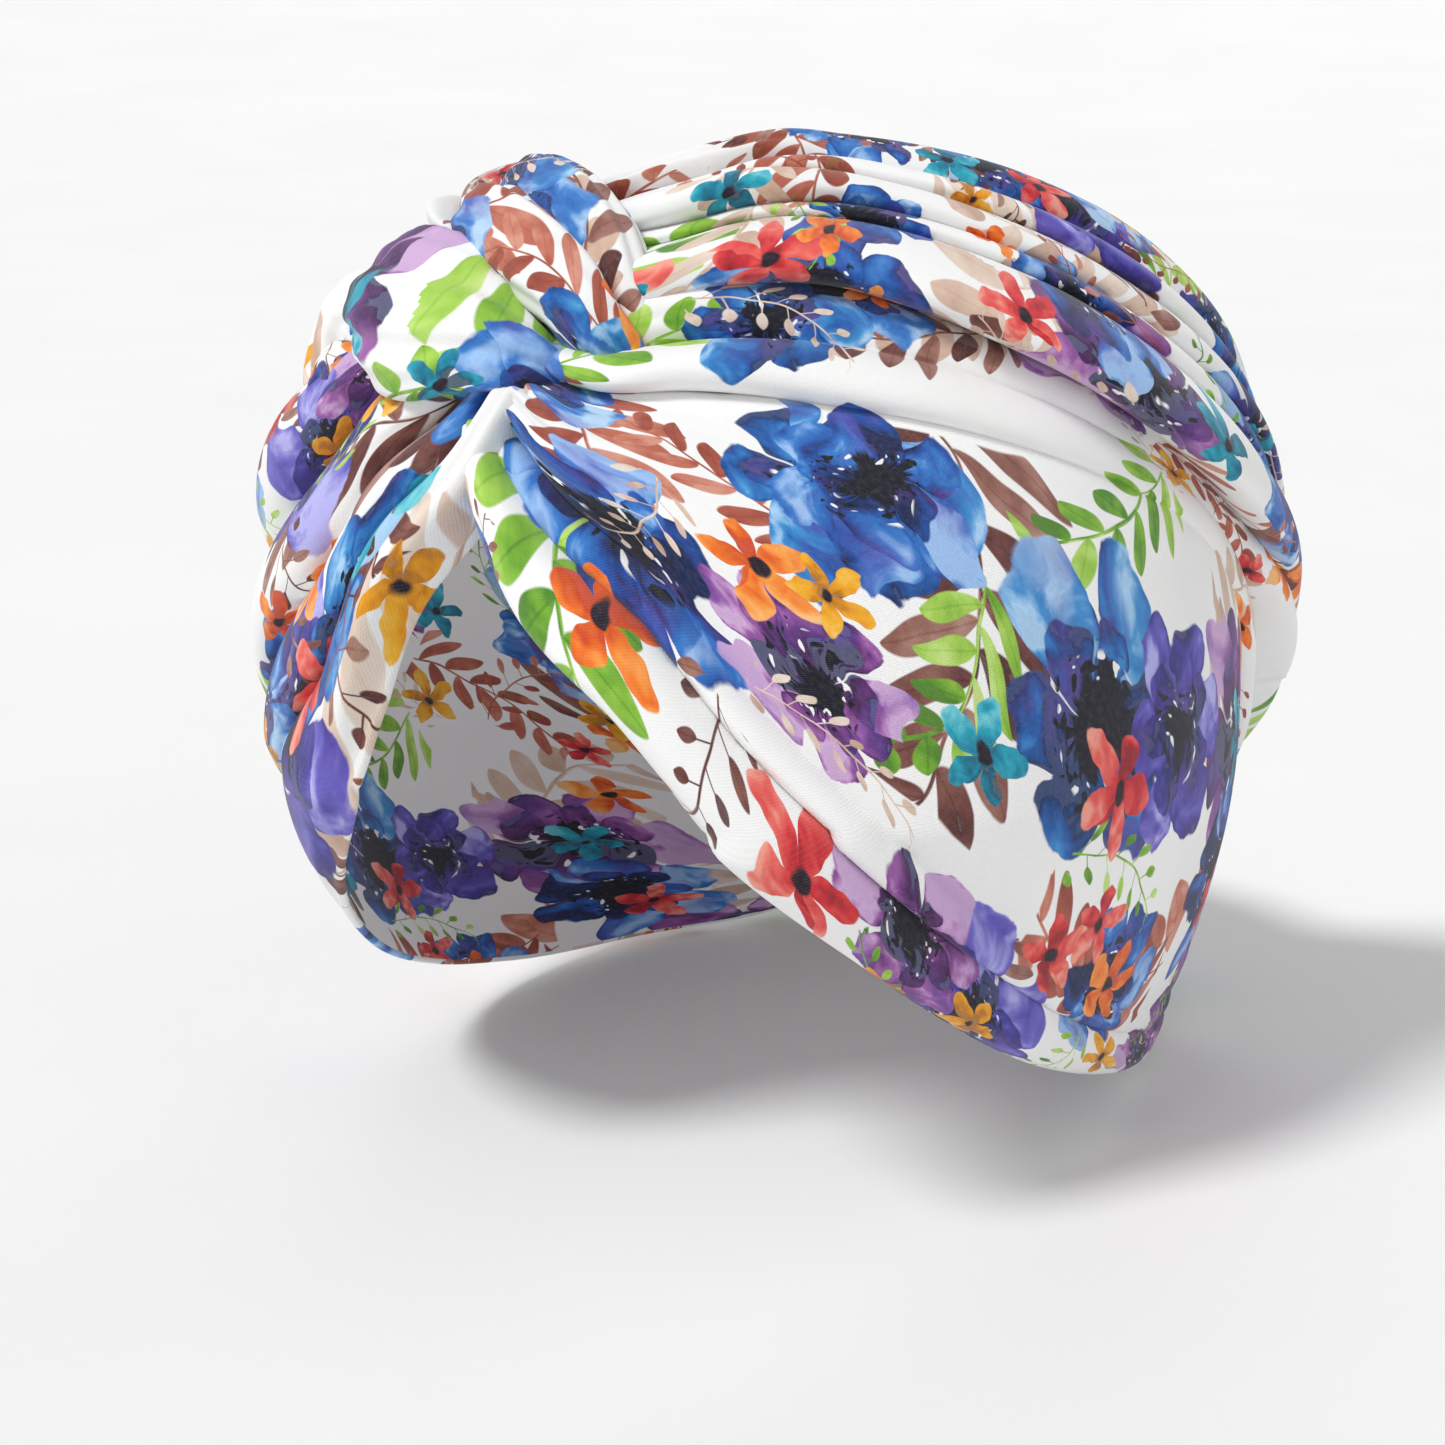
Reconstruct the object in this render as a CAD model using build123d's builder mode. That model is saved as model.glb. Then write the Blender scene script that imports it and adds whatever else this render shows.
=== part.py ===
from build123d import *
from math import cos, radians, sin
import os

# A wide headband made of two pleated fabric strips, looped through each other in a knot above
# the forehead and joined behind the head by a short elastic casing. Millimetres. The origin is
# the middle of the opening that the head fills, +Z is up, -Y is the face, +X the wearer's left.

# The head that the band is worn on: level sections are ellipses that shrink upwards and downwards
HEAD_HALF_BREADTH = 78.0
HEAD_HALF_LENGTH = 90.0
CROWN_HEIGHT = 98.0
CROWN_ROUNDNESS = 2.5
NECK_DEPTH = 146.0
NECK_ROUNDNESS = 1.5
BACKWARD_LEAN = 0.18

# Layers of cloth, measured outwards from the head
LINING_GAP = 0.3
LINING_THICKNESS = 1.0
LAYER_GAP = 0.3
FACE_THICKNESS = 3.0
FACE_THICKNESS_AT_KNOT = 6.0
FACE_BASE = LINING_GAP + LINING_THICKNESS + LAYER_GAP

# The strips' edges: angle from the face in degrees and height, lower edge then upper edge
LEFT_STATIONS = [
    ((8, 27), (15, 89)),
    ((22, 1), (32, 91)),
    ((42, -29), (64, 89)),
    ((66, -49), (90, 79)),
    ((95, -62), (113, 56)),
    ((124, -66), (132, 22)),
]
RIGHT_STATIONS = [
    ((-17, 17), (-50, 86)),
    ((-28, -7), (-64, 87)),
    ((-44, -31), (-80, 84)),
    ((-66, -49), (-96, 75)),
    ((-95, -62), (-115, 54)),
    ((-124, -66), (-132, 22)),
]

# The knot: the left strip's bight is a bar, and the right strip is an eye closed around it
KNOT_ANGLE = -14
KNOT_HEIGHT = 70.0
KNOT_TILT = -14
BAR_RADIUS = 5.0
BAR_LENGTH = 30.0
BAR_LIFT = 12.0
LEG_RADIUS = 3.8
LEG_REACH = 16.0
LEG_DROP = 6.0
EYE_CLEARANCE = 0.6
EYE_THICKNESS = 5.0
EYE_WIDTH = 20.0
EYE_TAIL = 30.0
EYE_TAIL_RADIUS = 3.2
EYE_TAIL_LIFT = 5.6
HOLE_TAIL = 15.0
HOLE_TAIL_RADIUS = 1.2
HOLE_TAIL_LIFT = 8.4
PLEATS = [(15.0, 0.0), (13.0, 0.8), (12.0, 1.6)]
PLEAT_BASE = BAR_LIFT + BAR_RADIUS + EYE_CLEARANCE
LEFT_START = (13.5, 13.5)
RIGHT_START = (-9.0, -30.0)
STRIP_HALF_WIDTH_AT_KNOT = 19.0
SAG_AT_KNOT = 2.0

# The elastic casing behind the head: a cone-like band round an upright axis
CASING_CENTRE_Y = 28.0
CASING_RADIUS = 62.5
CASING_HALF_ANGLE = 38.0
CASING_MID_HEIGHT = -38.0
CASING_WIDTH = 56.0
CASING_DEPTH = 6.0
CASING_WALL = 1.2
CASING_LEAN = 7.0
STRIP_END_GAP = 0.6
ELASTIC_WIDTH = 32.0
ELASTIC_THICKNESS = 1.4
ELASTIC_END_ANGLE = 36.0

# Sewing thread
STITCH_COUNT = 9
STITCH_LENGTH = 3.0
STITCH_THICKNESS = 0.6
STITCH_CLEARANCE = 0.1
TACK_COUNT = 5
TACK_PITCH = 5.0
SEAM_INSET_ANGLE = 4.0
TACK_INSET_ANGLE = 3.0


def head_point(angle, height, lift=0.0):
    """A point on the head form, at an angle from the face and a height, lifted off the skin."""
    reach, roundness = (CROWN_HEIGHT, CROWN_ROUNDNESS) if height > 0 else (NECK_DEPTH, NECK_ROUNDNESS)
    shrink = (1 - (abs(height) / reach) ** roundness) ** (1 / roundness)
    across = (HEAD_HALF_BREADTH * shrink + lift) * sin(radians(angle))
    along = (HEAD_HALF_LENGTH * shrink + lift) * cos(radians(angle))
    return Vector(across, BACKWARD_LEAN * abs(height) - along, height)


def casing_point(angle, height, lift=0.0):
    """A point on the casing's inner face, at an angle from straight back."""
    radius = CASING_RADIUS + lift + (height - CASING_MID_HEIGHT) * sin(radians(CASING_LEAN))
    across = radius * sin(radians(angle))
    return Vector(across, CASING_CENTRE_Y + radius * cos(radians(angle)), height)


def section_plane(low, middle, high):
    """The plane of a strip's cross-section, with x from the lower edge to the upper edge."""
    upwards = (high - low).normalized()
    outwards = middle - (low + high) * 0.5
    along = upwards.cross(outwards)
    return Plane(origin=(low + high) * 0.5, x_dir=upwards, z_dir=along)


def thick_arc(low, middle, high, base, thickness):
    """A strip's cross-section: a layer of even thickness, lifted off the arc through three points."""
    plane = section_plane(low, middle, high)
    half_width = (high - low).length / 2
    rise = plane.to_local_coords(middle).Y
    radius = (half_width**2 + rise**2) / (2 * rise)
    centre = rise - radius
    spread = half_width / radius
    level = -centre / radius
    corners = []
    for size in (radius + base, radius + base + thickness):
        edge_height = centre + size * level
        corners.append(((-size * spread, edge_height), (0, centre + size), (size * spread, edge_height)))
    inner, outer = corners
    with BuildSketch(plane) as section:
        with BuildLine():
            ThreePointArc(inner[0], inner[1], inner[2])
            Line(inner[2], outer[2])
            ThreePointArc(outer[2], outer[1], outer[0])
            Line(outer[0], inner[0])
        make_face()
    return section.sketch


def knot_point(along, across, lift):
    """A point given in the knot's own frame."""
    return knot_plane.from_local_coords(Vector(along, across, lift))


def strip_sections(stations, start, end_angle, base, thicknesses):
    """All cross-sections of one strip, from the knot to the casing."""
    half = STRIP_HALF_WIDTH_AT_KNOT
    low_start, high_start = start
    first = (
        knot_point(low_start, -half, -SAG_AT_KNOT),
        knot_point((low_start + high_start) / 2, 0, 0),
        knot_point(high_start, half, -SAG_AT_KNOT),
    )
    sections = [thick_arc(*first, base, thicknesses[0])]
    for number, ((low_angle, low), (high_angle, high)) in enumerate(stations):
        middle = head_point((low_angle + high_angle) / 2, (low + high) / 2)
        ends = (head_point(low_angle, low), middle, head_point(high_angle, high))
        sections.append(thick_arc(*ends, base, thicknesses[number + 1]))
    lowest = CASING_MID_HEIGHT - CASING_WIDTH / 2
    highest = CASING_MID_HEIGHT + CASING_WIDTH / 2
    last = (
        casing_point(end_angle, lowest),
        casing_point(end_angle, CASING_MID_HEIGHT, 0.6),
        casing_point(end_angle, highest),
    )
    sections.append(thick_arc(*last, base, thicknesses[-1]))
    return sections


def angled_band(inner_lift, outer_lift, width):
    """The cross-section of a band round the back of the head, on the plane that is revolved."""
    low = CASING_MID_HEIGHT - width / 2
    high = CASING_MID_HEIGHT + width / 2
    lean = sin(radians(CASING_LEAN)) * width / 2
    inner = CASING_RADIUS + inner_lift
    outer = CASING_RADIUS + outer_lift
    Polygon(
        (inner - lean, low), (outer - lean, low), (outer + lean, high), (inner + lean, high), align=None
    )


def upright_plane(angle):
    """The plane through the casing's axis, at an angle from straight back."""
    outwards = (sin(radians(angle)), cos(radians(angle)), 0)
    along = (-cos(radians(angle)), sin(radians(angle)), 0)
    return Plane(origin=(0, CASING_CENTRE_Y, 0), x_dir=outwards, z_dir=tuple(-part for part in along))


os.makedirs("parts", exist_ok=True)

casing_axis = Axis((0, CASING_CENTRE_Y, 0), (0, 0, 1))
knot_origin = head_point(KNOT_ANGLE, KNOT_HEIGHT)
knot_up = (head_point(KNOT_ANGLE, KNOT_HEIGHT + 5) - head_point(KNOT_ANGLE, KNOT_HEIGHT - 5)).normalized()
knot_along = head_point(KNOT_ANGLE + 5, KNOT_HEIGHT) - head_point(KNOT_ANGLE - 5, KNOT_HEIGHT)
knot_plane = Plane(origin=knot_origin, x_dir=knot_along, z_dir=knot_along.cross(knot_up))
knot_plane = knot_plane.rotated((0, 0, KNOT_TILT))

steps = len(LEFT_STATIONS) + 1
face_thicknesses = [FACE_THICKNESS_AT_KNOT] + [FACE_THICKNESS] * steps
lining_thicknesses = [LINING_THICKNESS] * (steps + 1)
end_angle = CASING_HALF_ANGLE + STRIP_END_GAP
sides = {
    "left": (LEFT_STATIONS, LEFT_START, end_angle),
    "right": (RIGHT_STATIONS, RIGHT_START, -end_angle),
}

# Left strip: the fan of pleats, with two legs that carry the bar under the knot
with BuildPart() as left_face_panel:
    for section in strip_sections(*sides["left"], FACE_BASE, face_thicknesses):
        add(section)
    loft(ruled=True)
    with BuildSketch(Plane(knot_point(0, -BAR_LENGTH / 2, BAR_LIFT), z_dir=knot_plane.y_dir)):
        Circle(BAR_RADIUS)
    extrude(amount=BAR_LENGTH)
    for side in (-1, 1):
        bar_end = knot_point(0, side * BAR_LENGTH / 2, BAR_LIFT)
        strip_end = knot_point(LEG_REACH, side * BAR_LENGTH / 2, BAR_LIFT - LEG_DROP)
        with Locations(bar_end):
            Sphere(BAR_RADIUS)
        with BuildSketch(Plane(origin=bar_end, z_dir=strip_end - bar_end)):
            Circle(LEG_RADIUS)
        extrude(amount=(strip_end - bar_end).length)

# Right strip: the fan of pleats, with the eye that is closed around the left strip's bar
eye_plane = Plane(origin=knot_origin, x_dir=knot_plane.x_dir, z_dir=-knot_plane.y_dir)
hole_radius = BAR_RADIUS + EYE_CLEARANCE
with BuildPart() as right_face_panel:
    for section in strip_sections(*sides["right"], FACE_BASE, face_thicknesses):
        add(section)
    loft(ruled=True)
    with BuildSketch(eye_plane) as eye:
        with Locations((0, BAR_LIFT)):
            Circle(hole_radius + EYE_THICKNESS)
        with Locations((-EYE_TAIL, EYE_TAIL_LIFT)):
            Circle(EYE_TAIL_RADIUS)
        make_hull()
    extrude(amount=EYE_WIDTH / 2, both=True)
    # Rolled pleats that cover the bight, side by side across the knot
    lower_edge = -sum(width for width, drop in PLEATS) / 2
    for width, drop in PLEATS:
        upper_edge = lower_edge + width
        with BuildSketch(Plane(knot_point(0, upper_edge, 0), x_dir=eye_plane.x_dir, z_dir=eye_plane.z_dir)):
            with Locations((0, BAR_LIFT)):
                Circle(hole_radius + EYE_THICKNESS - drop)
            with Locations((-EYE_TAIL, EYE_TAIL_LIFT)):
                Circle(EYE_TAIL_RADIUS)
            make_hull()
            with Locations((0, PLEAT_BASE)):
                Rectangle(4 * EYE_TAIL, EYE_TAIL, align=(Align.CENTER, Align.MIN), mode=Mode.INTERSECT)
        extrude(amount=width)
        lower_edge = upper_edge
    with BuildSketch(eye_plane):
        with Locations((0, BAR_LIFT)):
            Circle(hole_radius)
        with Locations((-HOLE_TAIL, HOLE_TAIL_LIFT)):
            Circle(HOLE_TAIL_RADIUS)
        make_hull()
    extrude(amount=EYE_WIDTH, both=True, mode=Mode.SUBTRACT)

# Linings: a thin layer of the same outline behind each fan of pleats
with BuildPart() as left_lining:
    for section in strip_sections(*sides["left"], LINING_GAP, lining_thicknesses):
        add(section)
    loft(ruled=True)

with BuildPart() as right_lining:
    for section in strip_sections(*sides["right"], LINING_GAP, lining_thicknesses):
        add(section)
    loft(ruled=True)

# Elastic casing: a flat tube of cloth, open at both ends
with BuildPart() as elastic_casing:
    with BuildSketch(upright_plane(-CASING_HALF_ANGLE)):
        angled_band(LINING_GAP, LINING_GAP + CASING_DEPTH, CASING_WIDTH)
    revolve(axis=casing_axis, revolution_arc=-2 * CASING_HALF_ANGLE)
    hollow_start = LINING_GAP + CASING_WALL
    hollow_end = LINING_GAP + CASING_DEPTH - CASING_WALL
    with BuildSketch(upright_plane(-CASING_HALF_ANGLE)):
        angled_band(hollow_start, hollow_end, CASING_WIDTH - 2 * CASING_WALL)
    revolve(axis=casing_axis, revolution_arc=-2 * CASING_HALF_ANGLE, mode=Mode.SUBTRACT)

# Elastic: a flat woven band inside the casing
elastic_lift = LINING_GAP + (CASING_DEPTH - ELASTIC_THICKNESS) / 2
with BuildPart() as back_elastic:
    with BuildSketch(upright_plane(-ELASTIC_END_ANGLE)):
        angled_band(elastic_lift, elastic_lift + ELASTIC_THICKNESS, ELASTIC_WIDTH)
    revolve(axis=casing_axis, revolution_arc=-2 * ELASTIC_END_ANGLE)


def stitch_row(angle, lift, count, pitch):
    """A row of short thread stitches up the casing, each lying along the band."""
    lowest = CASING_MID_HEIGHT - (count - 1) * pitch / 2
    with BuildPart() as row:
        for number in range(count):
            height = lowest + number * pitch
            middle = casing_point(angle, height, lift + STITCH_CLEARANCE + STITCH_THICKNESS / 2)
            outwards = upright_plane(angle).x_dir
            with Locations(Plane(origin=middle, x_dir=(0, 0, 1), z_dir=outwards)):
                Box(STITCH_THICKNESS, STITCH_LENGTH, STITCH_THICKNESS)
    return row


# Thread: a row where each strip's gathered end is sewn on, and a row through each end of the elastic
seam_pitch = CASING_WIDTH / STITCH_COUNT
seam_angle = CASING_HALF_ANGLE - SEAM_INSET_ANGLE
tack_angle = ELASTIC_END_ANGLE - TACK_INSET_ANGLE
tack_lift = elastic_lift + ELASTIC_THICKNESS
left_end_seam = stitch_row(seam_angle, LINING_GAP + CASING_DEPTH, STITCH_COUNT, seam_pitch)
right_end_seam = stitch_row(-seam_angle, LINING_GAP + CASING_DEPTH, STITCH_COUNT, seam_pitch)
left_elastic_tack = stitch_row(tack_angle, tack_lift, TACK_COUNT, TACK_PITCH)
right_elastic_tack = stitch_row(-tack_angle, tack_lift, TACK_COUNT, TACK_PITCH)

pieces = {
    "left_face_panel": left_face_panel,
    "left_lining": left_lining,
    "right_face_panel": right_face_panel,
    "right_lining": right_lining,
    "elastic_casing": elastic_casing,
    "back_elastic": back_elastic,
    "left_end_seam": left_end_seam,
    "right_end_seam": right_end_seam,
    "left_elastic_tack": left_elastic_tack,
    "right_elastic_tack": right_elastic_tack,
}
for label, piece in pieces.items():
    piece.part.label = label
    export_step(piece.part, f"parts/{label}.step")
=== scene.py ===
"""A knotted headband of printed cotton: two pleated strips looped through each other over the
forehead, with an elastic casing behind. Lengths are in millimetres until a mesh is made."""
from math import cos, pi, radians, sin

import bpy
import numpy as np
from mathutils import Matrix, Vector


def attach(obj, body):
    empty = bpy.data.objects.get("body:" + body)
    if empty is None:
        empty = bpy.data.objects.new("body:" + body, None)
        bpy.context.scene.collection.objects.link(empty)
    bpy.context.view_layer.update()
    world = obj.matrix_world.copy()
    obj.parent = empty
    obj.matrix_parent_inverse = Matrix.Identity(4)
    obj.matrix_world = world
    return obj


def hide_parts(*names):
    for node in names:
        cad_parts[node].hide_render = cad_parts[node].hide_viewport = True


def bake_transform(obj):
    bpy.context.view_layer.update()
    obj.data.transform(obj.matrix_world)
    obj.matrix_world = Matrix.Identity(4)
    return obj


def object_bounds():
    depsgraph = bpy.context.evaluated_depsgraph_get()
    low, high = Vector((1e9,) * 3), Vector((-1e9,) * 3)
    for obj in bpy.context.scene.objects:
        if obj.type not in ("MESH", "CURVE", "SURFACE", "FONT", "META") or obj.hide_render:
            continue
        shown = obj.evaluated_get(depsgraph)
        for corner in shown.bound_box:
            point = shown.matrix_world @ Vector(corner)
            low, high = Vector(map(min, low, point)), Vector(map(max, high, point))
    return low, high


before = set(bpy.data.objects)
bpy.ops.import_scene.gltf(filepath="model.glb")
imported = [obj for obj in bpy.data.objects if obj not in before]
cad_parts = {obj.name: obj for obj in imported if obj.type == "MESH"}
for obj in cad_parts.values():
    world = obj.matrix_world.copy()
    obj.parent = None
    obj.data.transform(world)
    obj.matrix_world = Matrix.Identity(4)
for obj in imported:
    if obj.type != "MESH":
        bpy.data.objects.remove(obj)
cad_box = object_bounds()

MM = 0.001

# ---------------------------------------------------------------- the head that the band follows
HEAD_HALF_BREADTH = 78.0
HEAD_HALF_LENGTH = 90.0
CROWN_HEIGHT = 98.0
CROWN_ROUNDNESS = 2.5
NECK_DEPTH = 146.0
NECK_ROUNDNESS = 1.5
BACKWARD_LEAN = 0.18


def head_point(angle, height, lift=0.0):
    """Points on the head form, at angles in degrees from the face and heights, as an (..., 3) array."""
    angle, height = np.radians(angle), np.asarray(height, float)
    above = height > 0
    reach = np.where(above, CROWN_HEIGHT, NECK_DEPTH)
    roundness = np.where(above, CROWN_ROUNDNESS, NECK_ROUNDNESS)
    shrink = (1 - np.minimum(np.abs(height) / reach, 0.999) ** roundness) ** (1 / roundness)
    across = (HEAD_HALF_BREADTH * shrink + lift) * np.sin(angle)
    along = (HEAD_HALF_LENGTH * shrink + lift) * np.cos(angle)
    return np.stack([across, BACKWARD_LEAN * np.abs(height) - along, height + 0 * across], -1)


def head_level(points):
    """Below 0 inside the head form, above 0 outside it."""
    x, y, z = points[..., 0], points[..., 1], points[..., 2]
    above = z > 0
    reach = np.where(above, CROWN_HEIGHT, NECK_DEPTH)
    roundness = np.where(above, CROWN_ROUNDNESS, NECK_ROUNDNESS)
    forward = y - BACKWARD_LEAN * np.abs(z)
    level = np.sqrt((x / HEAD_HALF_BREADTH) ** 2 + (forward / HEAD_HALF_LENGTH) ** 2)
    return level**roundness + (np.abs(z) / reach) ** roundness - 1


HEAD_MIDDLE = np.array([0.0, 6.0, 8.0])


def onto_head(points):
    """The points pushed out from the head's middle, or in towards it, until they lie on its skin."""
    ray = points - HEAD_MIDDLE
    low, high = np.full(ray.shape[:-1], 0.2), np.full(ray.shape[:-1], 3.0)
    for _ in range(32):
        half = (low + high) / 2
        outside = head_level(HEAD_MIDDLE + ray * half[..., None]) > 0
        high = np.where(outside, half, high)
        low = np.where(outside, low, half)
    return HEAD_MIDDLE + ray * low[..., None]


# ---------------------------------------------------------------- small numeric tools
# The sizes of puff in gathered cloth: how close together they come, and their share of the height
PUFF_SIZES = [(6.5, 0.42), (10.5, 0.34), (17.0, 0.24)]
WAVES_PER_SIZE = 5


def unit(vectors):
    return vectors / np.maximum(np.linalg.norm(vectors, axis=-1, keepdims=True), 1e-9)


def smooth_through(stations, values, at):
    """A smooth curve through values at the stations, read at the places asked for."""
    stations, values = np.asarray(stations, float), np.asarray(values, float)
    if values.ndim == 1:
        return smooth_through(stations, values[:, None], at)[..., 0]
    steps = np.diff(stations)[:, None]
    slopes = np.diff(values, axis=0) / steps
    inner = (slopes[:-1] * steps[1:] + slopes[1:] * steps[:-1]) / (steps[1:] + steps[:-1])
    tangents = np.concatenate([slopes[:1], inner, slopes[-1:]])
    span = np.clip(np.searchsorted(stations, at, side="right") - 1, 0, len(stations) - 2)
    width = steps[span]
    part = ((np.asarray(at) - stations[span]) / width[..., 0])[..., None]
    start, end = values[span], values[span + 1]
    return (
        start * (1 + 2 * part) * (1 - part) ** 2
        + tangents[span] * width * part * (1 - part) ** 2
        + end * part**2 * (3 - 2 * part)
        - tangents[span + 1] * width * part**2 * (1 - part)
    )


def ease(value, low, high):
    """0 below low, 1 above high, and a smooth step between them."""
    part = np.clip((value - low) / (high - low), 0, 1)
    return part * part * (3 - 2 * part)


def ripples(along, across, seed):
    """A soft random height between about -1 and 1, the same on every run."""
    draw = np.random.default_rng(seed)
    total = np.zeros(np.broadcast(along, across).shape)
    for finer in (1, 2, 4):
        for _ in range(WAVES_PER_SIZE):
            start = draw.uniform(0, 2 * pi, 2)
            pace = draw.uniform(0.5, 1.5, 2) * finer
            wave = np.sin(along * pace[0] + start[0]) * np.sin(across * pace[1] + start[1])
            total = total + wave / finer
    return total / 4


def gathers(place, sideways, seed):
    """Puffs of gathered cloth with sharp valleys between them, from 0 to 1."""
    draw = np.random.default_rng(seed)
    total = 0
    for pace, weight in PUFF_SIZES:
        bend = draw.uniform(0.3, 0.6) * np.sin(sideways * draw.uniform(1.0, 2.4) + draw.uniform(0, 6))
        total = total + weight * np.abs(np.sin(place * pace + bend + draw.uniform(0, 6)))
    return total


def normals_of(grid):
    """Unit normals of an (n, m, 3) grid of points."""
    return unit(np.cross(np.gradient(grid, axis=0), np.gradient(grid, axis=1)))


def mesh_from_grids(name, grids, cloths, closed=False):
    """One object made of grids of points in mm, with the place on the cloth of every point."""
    points, places, faces, start = [], [], [], 0
    for grid, cloth in zip(grids, cloths):
        rows, columns = grid.shape[:2]
        index = start + np.arange(rows * columns).reshape(rows, columns)
        if closed:
            index = np.concatenate([index, index[:, :1]], axis=1)
        corners = [index[:-1, :-1], index[:-1, 1:], index[1:, 1:], index[1:, :-1]]
        faces.append(np.stack([corner.ravel() for corner in corners], -1))
        points.append(grid.reshape(-1, 3))
        places.append(cloth.reshape(-1, 2))
        start += rows * columns
    mesh = bpy.data.meshes.new(name)
    mesh.from_pydata((np.concatenate(points) * MM).tolist(), [], np.concatenate(faces).tolist())
    mesh.update()
    flat = np.pad(np.concatenate(places), ((0, 0), (0, 1)))
    mesh.attributes.new("cloth", "FLOAT_VECTOR", "POINT").data.foreach_set("vector", flat.astype("f").ravel())
    mesh.shade_smooth()
    piece = bpy.data.objects.new(name, mesh)
    bpy.context.scene.collection.objects.link(piece)
    return piece


# ---------------------------------------------------------------- node arithmetic
class Wire:
    """A value in a node tree. Arithmetic on wires adds the nodes that work it out."""

    def __init__(self, tree, socket):
        self.tree, self.socket = tree, socket

    def math(self, operation, *others, clamp=False):
        made = self.tree.nodes.new("ShaderNodeMath")
        made.operation = operation
        made.use_clamp = clamp
        for socket, value in zip(made.inputs, (self, *others)):
            join(self.tree, value, socket)
        return Wire(self.tree, made.outputs[0])

    def __add__(self, other):
        return self.math("ADD", other)

    def __sub__(self, other):
        return self.math("SUBTRACT", other)

    def __mul__(self, other):
        return self.math("MULTIPLY", other)

    def __truediv__(self, other):
        return self.math("DIVIDE", other)

    def power(self, other):
        return self.math("POWER", other)

    def absolute(self):
        return self.math("ABSOLUTE")

    def floor(self):
        return self.math("FLOOR")

    def fraction(self):
        return self.math("FRACT")

    def sine(self):
        return self.math("SINE")

    def clamped(self):
        return self.math("ADD", 0.0, clamp=True)

    def times_plus(self, factor, extra):
        return self.math("MULTIPLY_ADD", factor, extra)

    def between(self, low, high):
        """0 at low and 1 at high, with a soft step."""
        made = self.tree.nodes.new("ShaderNodeMapRange")
        made.interpolation_type = "SMOOTHSTEP"
        for name, value in (("Value", self), ("From Min", low), ("From Max", high)):
            join(self.tree, value, made.inputs[name])
        return Wire(self.tree, made.outputs[0])

    def below(self, limit, softness):
        """1 where this is under the limit, 0 where it is over it."""
        return (self - limit).between(softness, -softness)


def join(tree, value, socket):
    """Links a wire to a socket, or sets the socket to a plain value."""
    if isinstance(value, Wire):
        tree.links.new(value.socket, socket)
    else:
        socket.default_value = value


def split(tree, socket):
    parts = tree.nodes.new("ShaderNodeSeparateXYZ")
    tree.links.new(socket, parts.inputs[0])
    return [Wire(tree, output) for output in parts.outputs]


def attribute(tree, name):
    """The three parts of a mesh attribute."""
    source = tree.nodes.new("ShaderNodeAttribute")
    source.attribute_name = name
    return split(tree, source.outputs["Vector"])


def vector(x, y, z=0.0):
    made = x.tree.nodes.new("ShaderNodeCombineXYZ")
    for value, socket in zip((x, y, z), made.inputs):
        join(x.tree, value, socket)
    return Wire(x.tree, made.outputs[0])


def noise(x, y, z, scale, detail=2.0):
    """Soft noise from 0 to 1, and two more of it."""
    made = x.tree.nodes.new("ShaderNodeTexNoise")
    join(x.tree, vector(x, y, z), made.inputs["Vector"])
    made.inputs["Scale"].default_value = scale
    made.inputs["Detail"].default_value = detail
    parts = split(x.tree, made.outputs["Color"])
    return Wire(x.tree, made.outputs["Fac"]), parts[1], parts[2]


def chance(x, y):
    """A random number from 0 to 1 for each pair of whole numbers."""
    made = x.tree.nodes.new("ShaderNodeTexWhiteNoise")
    made.noise_dimensions = "2D"
    join(x.tree, vector(x, y), made.inputs["Vector"])
    return Wire(x.tree, made.outputs["Value"])


def palette(tone, number, colours):
    """A colour of the numbered row: tone runs from the row's first colour at 0 to its last at 1."""
    made = tone.tree.nodes.new("ShaderNodeValToRGB")
    stops = made.color_ramp.elements
    count, steps = len(colours), len(colours[0])
    while len(stops) < count * steps:
        stops.new(1.0)
    for row in range(count):
        for step in range(steps):
            stops[row * steps + step].position = (row + 0.02 + 0.96 * step / (steps - 1)) / count
    for row, tones in enumerate(colours):
        for step, colour in enumerate(tones):
            stops[row * steps + step].color = (*colour, 1)
    inside = tone.clamped().times_plus(0.96, 0.02)
    join(tone.tree, (number + inside) / count, made.inputs["Fac"])
    return Wire(tone.tree, made.outputs["Color"])


def paint(under, over, cover):
    """The colour over laid on the colour under, as far as cover says."""
    made = cover.tree.nodes.new("ShaderNodeMix")
    made.data_type = "RGBA"
    join(cover.tree, cover, made.inputs[0])
    join(cover.tree, under, made.inputs[6])
    join(cover.tree, over, made.inputs[7])
    return Wire(cover.tree, made.outputs[2])


# ---------------------------------------------------------------- the print
# Rows of a palette run from the darkest pigment to the most watered down
BLOOM_COLOURS = [
    [(0.003, 0.012, 0.070), (0.008, 0.070, 0.340), (0.030, 0.185, 0.560), (0.340, 0.540, 0.860)],
    [(0.004, 0.016, 0.095), (0.008, 0.105, 0.400), (0.040, 0.270, 0.620), (0.420, 0.660, 0.900)],
    [(0.035, 0.006, 0.060), (0.120, 0.026, 0.170), (0.320, 0.100, 0.360), (0.660, 0.430, 0.700)],
    [(0.003, 0.022, 0.120), (0.008, 0.080, 0.360), (0.045, 0.210, 0.580), (0.480, 0.680, 0.900)],
    [(0.010, 0.009, 0.100), (0.045, 0.034, 0.320), (0.140, 0.115, 0.540), (0.440, 0.430, 0.820)],
]
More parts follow.
